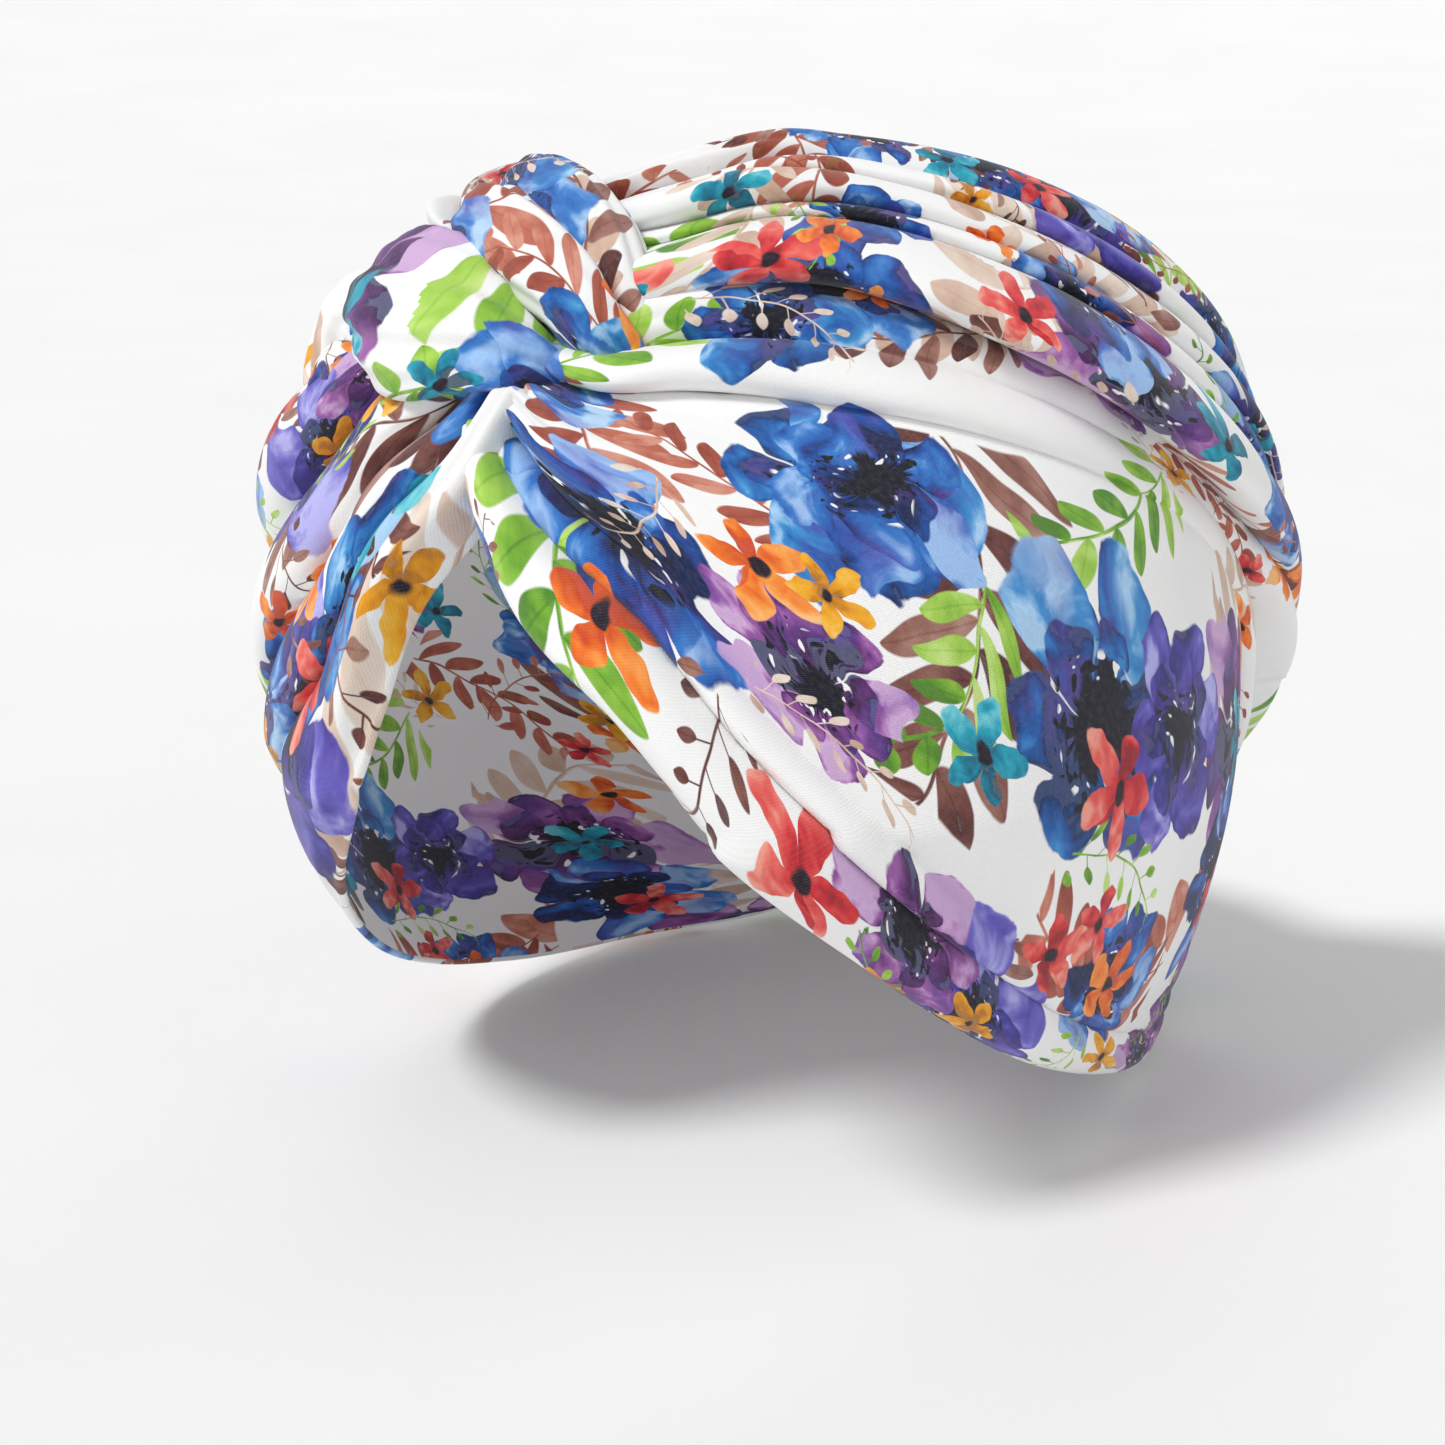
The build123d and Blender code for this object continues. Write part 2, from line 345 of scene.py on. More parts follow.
STAR_COLOURS = [
    [(0.300, 0.008, 0.018), (0.640, 0.025, 0.035), (0.790, 0.120, 0.100), (0.880, 0.360, 0.280)],
    [(0.560, 0.050, 0.008), (0.820, 0.170, 0.015), (0.900, 0.330, 0.060), (0.930, 0.540, 0.220)],
    [(0.002, 0.080, 0.150), (0.004, 0.220, 0.340), (0.015, 0.380, 0.500), (0.180, 0.620, 0.700)],
    [(0.420, 0.150, 0.004), (0.760, 0.300, 0.006), (0.860, 0.430, 0.020), (0.900, 0.600, 0.160)],
]
LEAF_COLOURS = [
    [(0.540, 0.360, 0.270), (0.660, 0.480, 0.380), (0.740, 0.600, 0.500), (0.810, 0.700, 0.620)],
    [(0.070, 0.018, 0.018), (0.150, 0.045, 0.038), (0.270, 0.110, 0.085), (0.430, 0.240, 0.190)],
    [(0.060, 0.220, 0.012), (0.190, 0.420, 0.030), (0.360, 0.600, 0.080), (0.560, 0.760, 0.240)],
    [(0.260, 0.045, 0.028), (0.380, 0.085, 0.050), (0.500, 0.150, 0.095), (0.640, 0.290, 0.210)],
]
CLOTH_WHITE = (0.88, 0.88, 0.875, 1)
CLOTH_SHADE = (0.77, 0.77, 0.80, 1)
VIOLET_WASH = (0.130, 0.070, 0.400, 1)
INK = (0.004, 0.004, 0.014, 1)
HEART_INK = (0.015, 0.006, 0.016, 1)
KEY_STEPS = 64
# Lengths below are shares of a motif's radius
LEAF_PITCH = 0.34
STEM_BEND = 0.28
STAR_PETALS = 5
# Rings of a bloom's petals: how many, how long, and how much paler than the middle
BLOOM_RINGS = [(6, 1.0, 0.34), (7, 0.68, 0.08)]
# The layers of sprays: their leaves' half-width, the stem's, the leaves' length, and the bare
# part of each leaf's stalk
SPRAYS = {
    "leaves": (0.135, 0.012, 0.62, 0.0),
    "leaves_two": (0.12, 0.014, 0.5, 0.0),
    "buds": (0.07, 0.012, 0.4, 0.4),
}
TWO_PI = 2 * pi


def motif(tree, name, scale, reach):
    """A layer's place on its motif with brushed edges, its palette row and its own seed."""
    x, y, key = attribute(tree, name)
    row, seed = key.floor(), (key.fraction() * KEY_STEPS).floor()
    _, right, up = noise(x, y, seed, scale, 1.0)
    return x + (right - 0.5) * reach, y + (up - 0.5) * reach, row, seed


def petals(x, y, seed, count, length, roundness, narrowing):
    """The outline of a ring of petals: how far each reaches, each one's luck, and the radius."""
    radius = (x * x + y * y).power(0.5)
    sector = y.math("ARCTAN2", x) * (count / TWO_PI) + seed * 0.37
    aside = (sector.fraction() - 0.5).absolute() * 2
    luck = chance(sector.floor(), seed)
    reach = (luck * 0.26 + 0.8) * (aside.power(roundness) * -narrowing + 1) * length
    return radius, reach, aside, luck


def bloom_layer(tree, under, name):
    """Large open flowers: two rings of overlapping petals round a dark, speckled middle."""
    x, y, row, seed = motif(tree, name, 1.7, 0.56)
    wash, streak, blot = noise(x, y, seed, 2.2, 4.0)
    painted = under
    for count, length, groove_shade_and_wear in BLOOM_RINGS:
        radius, reach, aside, luck = petals(x, y, seed + count, count, length, 3.4, 0.4)
        slit = (aside + luck * 0.09).between(0.97, 1.0)
        cover = radius.below(reach + (blot - 0.5) * 0.3, 0.012) * (slit * -0.9 + 1)
        rim = (reach - radius).below(0.06, 0.05)
        valley = aside.between(0.7, 1.0) * radius.below(length * 0.75, 0.25)
        tone = (wash - 0.5) * 2.6 + (luck - 0.5) * 0.8 + radius * 0.35 + groove_shade_and_wear
        tone = tone - rim * 0.16 - valley * 0.34 + (streak - 0.5) * 0.9
        colour = palette(tone, row, BLOOM_COLOURS)
        colour = paint(colour, VIOLET_WASH, (blot - streak + 0.02).between(0.0, 0.3) * 0.45)
        painted = paint(painted, colour, cover)
    rays = chance((y.math("ARCTAN2", x) * 9.0).floor(), seed)
    heart = radius.below((wash - 0.5) * 0.7 + rays * 0.14 + 0.19, 0.035)
    specks, _, _ = noise(x, y, seed, 9.0, 1.0)
    dots = (specks - 0.5).between(0.08, 0.11) * radius.below(0.46, 0.03)
    painted = paint(painted, INK, heart.math("MAXIMUM", dots))
    glints = specks.below(0.36, 0.02) * radius.below(0.4, 0.02) * radius.between(0.2, 0.24)
    return paint(painted, CLOTH_WHITE, glints)


def star_layer(tree, under, name):
    """Small flowers with five separate petals."""
    x, y, row, seed = motif(tree, name, 2.0, 0.34)
    wash, blot, _ = noise(x, y, seed, 2.5, 2.0)
    radius, reach, _, luck = petals(x, y, seed, STAR_PETALS, 0.92, 1.7, 0.76)
    cover = radius.below(reach + (blot - 0.5) * 0.14, 0.02)
    tone = (wash - 0.5) * 1.7 + (luck - 0.5) * 0.6 + radius * 0.6 + 0.12
    painted = paint(under, palette(tone, row, STAR_COLOURS), cover)
    return paint(painted, HEART_INK, radius.below((blot - 0.5) * 0.3 + 0.13, 0.03))


def spray_layer(tree, under, name):
    """Curved stems with leaves or buds on both sides."""
    leaf, stalk, reach, bare = SPRAYS[name]
    x, y, row, seed = motif(tree, name, 1.3, 0.24)
    y = y + x * x * STEM_BEND
    side = y.math("SIGN")
    height = y.absolute()
    slot = (x - height * 0.75 + side * 0.08) / LEAF_PITCH
    luck = chance(slot.floor(), seed + side)
    across = (slot.fraction() - 0.5).absolute() * LEAF_PITCH
    part = height / ((luck * 0.4 + 0.6) * reach * (x * -0.3 + 1))
    lens = ((part - bare).clamped() / (1 - bare) * pi).sine().math("MAXIMUM", 0.0)
    inside = x.absolute().below(1.0, 0.01)
    leaves = across.below(lens.power(0.7) * leaf, 0.010) * part.below(1.0, 0.02)
    twig = across.below(stalk * 0.7, 0.006) * part.below(bare + 0.05, 0.02)
    stem = height.below(stalk, 0.006)
    wash, _, _ = noise(x, y, seed, 3.0, 3.0)
    vein = across.below(0.008, 0.008)
    tone = (wash - 0.5) * 1.8 + (luck - 0.5) * 0.8 + 0.45 - vein * 0.16
    cover = leaves.math("MAXIMUM", stem).math("MAXIMUM", twig) * inside
    return paint(under, palette(tone, row, LEAF_COLOURS), cover)


def printed_colour(tree):
    """The colour of the printed cloth at a point, painted from the back layer to the front one."""
    x, y, _ = attribute(tree, "cloth")
    tint, _, _ = noise(x, y, 0.0, 0.03, 2.0)
    colour = paint(CLOTH_WHITE, CLOTH_SHADE, (tint - 0.45).clamped())
    colour = spray_layer(tree, colour, "leaves")
    colour = spray_layer(tree, colour, "leaves_two")
    colour = bloom_layer(tree, colour, "blooms")
    colour = bloom_layer(tree, colour, "blooms_two")
    colour = spray_layer(tree, colour, "buds")
    colour = star_layer(tree, colour, "stars")
    return star_layer(tree, colour, "stars_two")


# One repeat of the print, in mm, and its layers: how many motifs, their smallest and largest
# radius, how many palette rows they take turns with, and the layer's seed
REPEAT = np.array([230.0, 262.0])
LAYERS = {
    "leaves": (14, 27, 32, 4, 1),
    "leaves_two": (20, 19, 25, 4, 2),
    "blooms": (14, 23, 27, 5, 3),
    "blooms_two": (16, 16, 20, 5, 4),
    "buds": (24, 14, 18, 4, 5),
    "stars": (26, 9, 12, 4, 6),
    "stars_two": (22, 7, 10, 4, 7),
}
SPREADING_ROUNDS = 150
ELBOW_ROOM = 1.12
NEAR_LIMIT = 1.35
FAR_AWAY = 9.0


def scatter(count, smallest, largest, rows, seed):
    """Middles, radii, turns and keys of a layer's motifs, pushed apart until none overlap."""
    draw = np.random.default_rng(seed)
    middles = draw.uniform(0, 1, (count, 2)) * REPEAT
    radii = draw.uniform(smallest, largest, count)
    turns = draw.uniform(0, TWO_PI, count)
    for _ in range(SPREADING_ROUNDS):
        apart = middles[:, None] - middles[None]
        apart = apart - np.round(apart / REPEAT) * REPEAT
        distance = np.linalg.norm(apart, axis=-1) + np.eye(count) * 1e3
        need = np.maximum((radii[:, None] + radii[None]) * ELBOW_ROOM - distance, 0) / distance
        middles = middles + 0.25 * (apart * need[..., None]).sum(1)
    numbers = np.arange(count)
    keys = numbers % rows + (numbers * 5 % KEY_STEPS + 0.5) / KEY_STEPS
    return middles, radii, turns, keys


def place_motifs(piece, shift):
    """Gives every face of a cloth piece each layer's nearest motif, and its corners' places on it."""
    mesh = piece.data
    places = np.empty(len(mesh.vertices) * 3, "f")
    mesh.attributes["cloth"].data.foreach_get("vector", places)
    corners = np.empty(len(mesh.loops), int)
    mesh.loops.foreach_get("vertex_index", corners)
    places = (places.reshape(-1, 3)[:, :2].astype(float) + shift)[corners].reshape(-1, 4, 2)
    centres = places.mean(1)
    rows = np.arange(len(centres))
    for layer, settings in LAYERS.items():
        middles, radii, turns, keys = scatter(*settings)
        offset = centres[:, None] - middles[None]
        wrap = np.round(offset / REPEAT) * REPEAT
        distance = np.linalg.norm(offset - wrap, axis=-1) / radii
        nearest = distance.argmin(1)
        local = places - (middles[nearest] + wrap[rows, nearest])[:, None]
        x, y = np.moveaxis(local / radii[nearest][:, None, None], -1, 0)
        cosine, sine = np.cos(turns[nearest])[:, None], np.sin(turns[nearest])[:, None]
        near = (distance[rows, nearest] < NEAR_LIMIT)[:, None]
        values = [
            np.where(near, x * cosine + y * sine, FAR_AWAY),
            np.where(near, y * cosine - x * sine, FAR_AWAY),
            np.repeat(keys[nearest][:, None], 4, 1),
        ]
        made = mesh.attributes.new(layer, "FLOAT_VECTOR", "CORNER")
        made.data.foreach_set("vector", np.stack(values, -1).astype("f").ravel())


THREAD_PITCH = 0.48
THREAD_TURN = TWO_PI / THREAD_PITCH
WEAVE_DEPTH = 0.00012


def cloth_material():
    """Printed cotton: the print, a fine weave in relief with a painted highlight on its raised threads, paler
    slubs and a soft sheen.
    """
    material = bpy.data.materials.new("printed_cotton")
    material.use_nodes = True
    tree = material.node_tree
    shader = tree.nodes["Principled BSDF"]
    colour = printed_colour(tree)
    x, y, _ = attribute(tree, "cloth")
    threads = (x * THREAD_TURN).sine() * (y * THREAD_TURN).sine()
    slub, _, _ = noise(x, y, 0.0, 0.9, 3.0)
    # Paler where the weave's relief stands up: a painted highlight on the raised threads, and paler slubs at
    # random.
    thread_highlight_and_slub = (threads * 0.03 + (slub - 0.45) * 0.12).clamped()
    join(tree, paint(colour, CLOTH_WHITE, thread_highlight_and_slub), shader.inputs["Base Color"])
    relief = tree.nodes.new("ShaderNodeBump")
    relief.inputs["Strength"].default_value = 0.4
    relief.inputs["Distance"].default_value = WEAVE_DEPTH
    join(tree, threads * 0.6 + slub, relief.inputs["Height"])
    tree.links.new(relief.outputs[0], shader.inputs["Normal"])
    join(tree, slub * 0.16 + 0.76, shader.inputs["Roughness"])
    shader.inputs["Sheen Weight"].default_value = 0.2
    shader.inputs["Sheen Roughness"].default_value = 0.5
    shader.inputs["Specular IOR Level"].default_value = 0.25
    return material


# ---------------------------------------------------------------- the strips
ROWS_ALONG = 250
ROWS_ACROSS = 300
LINING_ROWS_ALONG = 110
LINING_ROWS_ACROSS = 90
STRIP_LIFT = 2.2
LINING_LIFT = 0.7
EDGE_TURN_ROWS = 5
CASING_GATHERS = 3.2
KNOT_GATHERS = 2.4
DRAPE = 0.5
# Where a strip starts and stops being pressed flat to go inside the casing, how much of its
# height that takes away, and how far it lifts the face and the lining
TUCK_START = 0.935
TUCK_END = 0.982
TUCK_PRESSING = 0.75
TUCK_FACE_LIFT = 1.2
TUCK_LINING_LIFT = 1.9
STRIP_CLOTH_WIDTH = 230.0
STRIP_CLOTH_LENGTH = 250.0

# Edges of each strip from the knot (0) to the casing (1): angle from the face and height
EDGE_STATIONS = [0, 0.05, 0.1, 0.2, 0.3, 0.4, 0.5, 0.6, 0.7, 0.8, 0.9, 1.0]
LEFT_LOWER = [(-13, 63), (-7, 47), (1, 32), (14, 15), (25, -3), (36, -19), (47, -33), (60, -46),
              (76, -56), (95, -63), (122, -66), (149.5, -64)]
LEFT_UPPER = [(-14, 82), (-4, 86.5), (8, 90), (24, 93), (38, 93.5), (53, 92.5), (68, 90), (82, 85),
              (96, 76), (110, 62), (126, 32), (149.5, -13)]
RIGHT_LOWER = [(-2, 57), (-6, 43), (-13, 31), (-18, 13), (-23, -3), (-35, -20), (-47, -33), (-60, -46),
               (-76, -56), (-95, -63), (-122, -66), (-149.5, -64)]
RIGHT_UPPER = [(-30, 80), (-38, 82), (-46, 85), (-56, 88), (-66, 88.5), (-76, 87), (-84, 84), (-92, 79),
               (-101, 71), (-112, 58), (-126, 30), (-149.5, -13)]

# Folds of a strip from its lower edge to its upper edge. Each has the cloth it takes up, then its
# share of the band's width and how far it stands out, in mm, at the stations, and how far its
# crest leans down over its neighbour.
FOLD_STATIONS = [0, 0.12, 0.3, 0.5, 0.7, 0.86, 1.0]
LEFT_FOLDS = [
    (26, [14, 16, 14, 9, 6, 6, 10], [3.5, 8.5, 7.2, 4.6, 2.4, 1.0, 4], 0.4),
    (12, [6, 6, 5, 4, 3, 4, 8], [3.0, 5.0, 4.0, 2.4, 1.0, 0.8, 4], 0.8),
    (88, [14, 20, 36, 50, 54, 40, 24], [4.0, 7.5, 5.0, 3.0, 1.8, 1.4, 5], 0.3),
    (20, [8, 8, 8, 6, 4, 8, 10], [3.5, 6.5, 5.0, 2.6, 0.6, 3.4, 5], 0.7),
    (24, [10, 10, 9, 5, 4, 10, 9], [4.0, 5.0, 2.8, 1.4, 0.8, 10, 6], 0.3),
    (30, [13, 12, 10, 9.5, 9, 8, 9], [6.0, 9.0, 9.2, 8.8, 8.6, 10, 6], 1.2),
    (12, [7, 5, 3, 3, 4, 4, 6], [5.0, 5.5, 4.8, 4.6, 5.2, 6.5, 5], 0.8),
    (18, [10, 8, 5.5, 5, 5, 5, 7], [5.0, 7.0, 6.4, 5.8, 6.0, 7.0, 6], 0.9),
    (13, [7, 6, 4, 3.5, 4, 4, 6], [5.0, 6.0, 5.2, 5.0, 5.0, 6.0, 5], 0.8),
    (32, [11, 10, 8, 8, 8, 8, 9], [4.0, 5.5, 4.8, 4.4, 4.4, 5.0, 5], 0.4),
]
RIGHT_FOLDS = [
    (24, [14, 15, 17, 15, 13, 12, 13], [8, 6.5, 4.0, 1.6, 0.6, 0.6, 4], 0.1),
    (22, [12, 13, 13, 11, 9, 7, 9], [7.5, 6.5, 4.6, 2.0, 0.6, 0.6, 4], 0.7),
    (30, [14, 14, 14, 17, 20, 16, 11], [8, 8.0, 7.8, 5.5, 1.8, 1.5, 5], 0.6),
    (46, [12, 13, 15, 22, 28, 24, 16], [8, 10, 12, 10.5, 5.0, 3.5, 6], 0.5),
    (34, [14, 13, 12, 11, 9, 15, 14], [8, 10, 10.5, 9.0, 7.0, 7.5, 6], 0.7),
    (20, [10, 9, 8, 7, 6, 8, 11], [8, 9.0, 8.5, 7.5, 6.0, 6.5, 5], 0.6),
    (20, [9, 9, 8, 7, 6, 8, 12], [7, 7.5, 6.5, 5.5, 5.0, 6.0, 5], 0.6),
    (34, [15, 14, 13, 10, 9, 10, 14], [6, 5.5, 4.5, 4.0, 4.0, 5.0, 5], 0.3),
]


def section_base(lower, upper, along, share):
    """Points on the head form for each place along a strip and share of the way up it, and its widths."""
    low = smooth_through(EDGE_STATIONS, head_point(*np.array(lower, float).T), along)
    high = smooth_through(EDGE_STATIONS, head_point(*np.array(upper, float).T), along)
    fine = np.linspace(0, 1, 160)
    arcs = onto_head(low[:, None] * (1 - fine)[None, :, None] + high[:, None] * fine[None, :, None])
    steps = np.linalg.norm(np.diff(arcs, axis=1), axis=-1)
    lengths = np.concatenate([np.zeros((len(along), 1)), np.cumsum(steps, axis=1)], axis=1)
    widths = lengths[:, -1]
    points = np.empty(share.shape + (3,))
    for row in range(len(along)):
        for axis in range(3):
            points[row, :, axis] = np.interp(share[row] * widths[row], lengths[row], arcs[row, :, axis])
    return points, widths


def outwards_from(base):
    """Normals of a surface on the head that point away from the head."""
    normals = normals_of(base)
    return normals * np.sign((normals * (base - HEAD_MIDDLE)).sum(-1, keepdims=True))


def fold_profile(folds, along, across, widths, seed):
    """For each point of the cloth: its share of the way up the band, and how far it stands out."""
    cloth = np.array([fold[0] for fold in folds], float)
    cloth_edges = np.concatenate([[0], np.cumsum(cloth)]) / cloth.sum()
    shares = np.stack([smooth_through(FOLD_STATIONS, fold[1], along) for fold in folds], -1)
    shares = shares / shares.sum(-1, keepdims=True)
    share_edges = np.concatenate([np.zeros((len(along), 1)), np.cumsum(shares, -1)], -1)
    number = np.clip(np.searchsorted(cloth_edges, across, side="right") - 1, 0, len(folds) - 1)
    within = (across - cloth_edges[number]) / (cloth_edges[number + 1] - cloth_edges[number])
    draw = np.random.default_rng(seed)
    lifts = []
    for fold in folds:
        sway = np.sin(along * draw.uniform(5, 11) + draw.uniform(0, 2 * pi))
        lifts.append(smooth_through(FOLD_STATIONS, fold[2], along) * (1 + 0.14 * sway))
    lift = np.stack(lifts, -1)[:, number] * np.sin(pi * within) ** 0.6
    lean = np.array([fold[3] for fold in folds])[number]
    overhang = lean * lift * (1 - within) ** 0.5
    share = share_edges[:, number] + shares[:, number] * within
    return share - overhang / widths[:, None], lift


def turned_edge(surface, outwards, row, next_row):
    """Rows that carry the cloth round an edge of the strip, from its face to its lining."""
    away = unit(surface[:, row] - surface[:, next_row])
    radius = (STRIP_LIFT - LINING_LIFT) / 2
    turns = np.linspace(0, pi, EDGE_TURN_ROWS + 1)[1:]
    rows = []
    for turn in turns:
        rows.append(
            surface[:, row] + away * radius * sin(turn) + outwards[:, row] * radius * (cos(turn) - 1)
        )
    return np.stack(rows, 1)


def strip_face(lower, upper, folds, seed):
    """A pleated strip's face as a grid of points, rows from the knot to the casing, and its cloth."""
    along = np.linspace(0, 1, ROWS_ALONG)
    across = np.linspace(0, 1, ROWS_ACROSS)
    _, widths = section_base(lower, upper, along, np.repeat(across[None], ROWS_ALONG, 0))
    share, lift = fold_profile(folds, along, across, widths, seed)
    base, _ = section_base(lower, upper, along, np.clip(share, 0, 1))
    outwards = outwards_from(base)
    casing_gather = ease(along, 0.79, 0.97)[:, None]
    knot_gather = (1 - ease(along, 0.06, 0.36))[:, None]
    height = (
        lift
        + CASING_GATHERS * casing_gather * gathers(across[None] * 6, along[:, None] * 8, seed + 2)
        + KNOT_GATHERS * knot_gather * gathers(across[None] * 4, along[:, None] * 5, seed + 3)
        + DRAPE * ripples(along[:, None] * 9, across[None] * 9, seed + 1)
    )
    tuck = ease(along, TUCK_START, TUCK_END)[:, None]
    height = height * (1 - TUCK_PRESSING * tuck) + TUCK_FACE_LIFT * tuck
    edge = np.minimum(across, 1 - across)[None]
    surface = base + outwards * (STRIP_LIFT + height * ease(edge, 0.0, 0.02))[..., None]
    below = turned_edge(surface, outwards, 0, 2)[:, ::-1]
    above = turned_edge(surface, outwards, -1, -3)
    middle = surface[:, ROWS_ACROSS // 3]
    length = np.concatenate([[0], np.cumsum(np.linalg.norm(np.diff(middle, axis=0), axis=-1))])
    edge_rows = np.arange(1, EDGE_TURN_ROWS + 1) * (STRIP_LIFT - LINING_LIFT) / EDGE_TURN_ROWS
    places = np.concatenate([-edge_rows[::-1], across * STRIP_CLOTH_WIDTH, STRIP_CLOTH_WIDTH + edge_rows])
    surface = np.concatenate([below, surface, above], axis=1)
    cloth = np.stack(np.broadcast_arrays(length[:, None], places[None]), -1)
    return surface, cloth


def strip_lining(lower, upper, seed):
    """The layer next to the head: smooth, with a few soft creases."""
    along = np.linspace(0, 1, LINING_ROWS_ALONG)
    across = np.linspace(0, 1, LINING_ROWS_ACROSS)
    base, _ = section_base(lower, upper, along, np.repeat(across[None], LINING_ROWS_ALONG, 0))
    edge = np.minimum(across, 1 - across)[None]
    creases = 0.5 + 0.5 * ripples(along[:, None] * 5, across[None] * 22, seed)
    tuck = ease(along, TUCK_START, TUCK_END)[:, None]
    lift = LINING_LIFT + (0.7 * creases + TUCK_LINING_LIFT * tuck) * ease(edge, 0.0, 0.08)
    cloth_length = np.linspace(0, 1, LINING_ROWS_ALONG) * STRIP_CLOTH_LENGTH
    cloth = np.stack(np.broadcast_arrays(cloth_length[:, None], across[None] * STRIP_CLOTH_WIDTH), -1)
    return base + outwards_from(base) * lift[..., None], cloth



# ---------------------------------------------------------------- the knot
# The knot's own frame: its middle on the head, along the wrapped cloth, across it, and outwards
KNOT_ANGLE = -14.0
KNOT_HEIGHT = 70.0
KNOT_TILT = -14.0
ROLL_ROWS_ALONG = 130
ROLL_ROWS_ROUND = 84
ROLL_GIRTH = 60.0
# Parts of a roll's length: closed at each end, and pulled into deeper folds near each end
ROLL_CLOSING = 0.05
ROLL_PULL = 0.3
# Shares of a roll's size: its folds, how much deeper they are where it is pulled, the finer folds
# between them and its dents; and how far, in radians, the folds twist round it
ROLL_FOLDS = 0.05
ROLL_PULLED_FOLDS = 0.09
ROLL_FINE_FOLDS = 0.035
ROLL_DENTS = 0.05
ROLL_SWIRL = 0.6

# Rolls of the right strip wrapped over the knot. Each has points on its crest line (along, across, height,
# half-width, depth) and its seed.
KNOT_ROLLS = [
    ("wide", [(-33, -7, 2, 6, 4), (-27, -5, 10, 9, 6), (-18, -6, 16, 12, 8), (-7, -8, 19.5, 13.5, 9),
              (5, -9, 19.5, 13, 9), (14, -8, 16, 9.5, 8), (21, -6, 9, 5.5, 6), (25, -5, -1, 3, 4)], 11),
    ("middle", [(-26, 9, 2, 4, 4), (-19, 10, 9, 5, 6), (-8, 9, 17.5, 6.5, 7), (6, 7, 19, 7, 7),
                (18, 4.5, 16, 6.5, 7), (26, 1, 9, 5, 5), (29, -1, -2, 4, 4)], 23),
    ("top", [(-28, 16, 1, 4, 4), (-20, 18, 6, 5, 5), (-10, 18.5, 13, 6, 6), (4, 16.5, 16.5, 6.5, 7),
             (14, 14, 14.5, 6, 6), (23, 9, 9, 5, 5), (28, 5, -2, 4, 4)], 31),
    ("lobe", [(-22, -6, 3, 7, 5), (-27, -10, 9, 9, 7), (-31, -15, 8, 9, 7), (-32, -21, 3, 7, 5),
              (-30, -27, -2, 4, 4)], 47),
    ("under_fold", [(-10, -16, 3, 5, 4), (-18, -19, 8, 6, 5), (-25, -22, 7, 5.5, 5),
                    (-30, -27, 1, 4, 4)], 53),
]

knot_middle = head_point(KNOT_ANGLE, KNOT_HEIGHT)
knot_up = unit(head_point(KNOT_ANGLE, KNOT_HEIGHT + 5) - head_point(KNOT_ANGLE, KNOT_HEIGHT - 5))
knot_level = unit(head_point(KNOT_ANGLE + 5, KNOT_HEIGHT) - head_point(KNOT_ANGLE - 5, KNOT_HEIGHT))
knot_outwards = unit(np.cross(knot_level, knot_up))
knot_up = np.cross(knot_outwards, knot_level)
tilt = radians(KNOT_TILT)
knot_along = knot_level * cos(tilt) + knot_up * sin(tilt)
knot_across = np.cross(knot_outwards, knot_along)
KNOT_AXES = np.stack([knot_along, knot_across, knot_outwards])


def roll_surface(crest, seed):
    """A soft roll of cloth under a crest line given in the knot's frame, as a closed grid."""
    crest = np.array(crest, float)
    stations = np.linspace(0, 1, len(crest))
    along = np.linspace(0, 1, ROLL_ROWS_ALONG)
    line = smooth_through(stations, crest, along)
    end = np.minimum(along, 1 - along)
    closing = np.sqrt(ease(end, -0.001, ROLL_CLOSING))
    half_width, depth = (line[:, 3] * closing)[:, None], (line[:, 4] * closing)[:, None]
    turn = np.linspace(0, 2 * pi, ROLL_ROWS_ROUND, endpoint=False)[None]
    heading = unit(np.gradient(line[:, :3], axis=0))
    sideways = unit(np.cross(np.array([0.0, 0.0, 1.0]), heading))
    upwards = np.cross(heading, sideways)
    middle = line[:, :3] - upwards * line[:, 4:]
    pull = 1 - ease(end, 0.0, ROLL_PULL)[:, None]
    swirl = turn + ROLL_SWIRL * np.sin(along[:, None] * 3 + seed)
    folds = (ROLL_FOLDS + ROLL_PULLED_FOLDS * pull) * np.sin(5 * swirl + seed)
    folds = folds + ROLL_FINE_FOLDS * np.sin(11 * swirl + 2.0 * seed)
    dents = ROLL_DENTS * ripples(along[:, None] * 14, 2 * np.cos(turn) + 0 * along[:, None], seed)
    size = 1 + folds + dents
    flat = np.abs(np.sin(turn)) ** 0.9 * np.sign(np.sin(turn))
    points = (
        middle[:, None]
        + sideways[:, None] * (half_width * np.cos(turn) * size)[..., None]
        + upwards[:, None] * (depth * flat * size)[..., None]
    )
    length = np.concatenate([[0], np.cumsum(np.linalg.norm(np.diff(line[:, :3], axis=0), axis=-1))])
    girth = ROLL_GIRTH * turn / (2 * pi)
    cloth = np.stack(np.broadcast_arrays(length[:, None], girth), -1)
    return knot_middle + points @ KNOT_AXES, cloth



# ---------------------------------------------------------------- the elastic casing
CASING_CENTRE_Y = 28.0
CASING_RADIUS = 62.5
CASING_HALF_ANGLE = 40.0
CASING_MID_HEIGHT = -38.0
CASING_HALF_WIDTH = 28.0
CASING_MID_LIFT = 4.0
CASING_HALF_DEPTH = 3.2
CASING_LEAN = 7.0
CASING_CLOTH_LENGTH = 150.0
CASING_ROWS_ROUND = 360
CASING_FACE_ROWS = 60
CASING_TURN_ROWS = 8
GATHER_HEIGHT = 3.8
FRILL_HEIGHT = 2.4
PUFFS_ROUND = 2.6
ELASTIC_HALF_WIDTH = 16.0
ELASTIC_HALF_THICKNESS = 0.7
ELASTIC_HALF_ANGLE = 36.0
ELASTIC_LIFT = 3.9
ELASTIC_ROWS_ROUND = 160
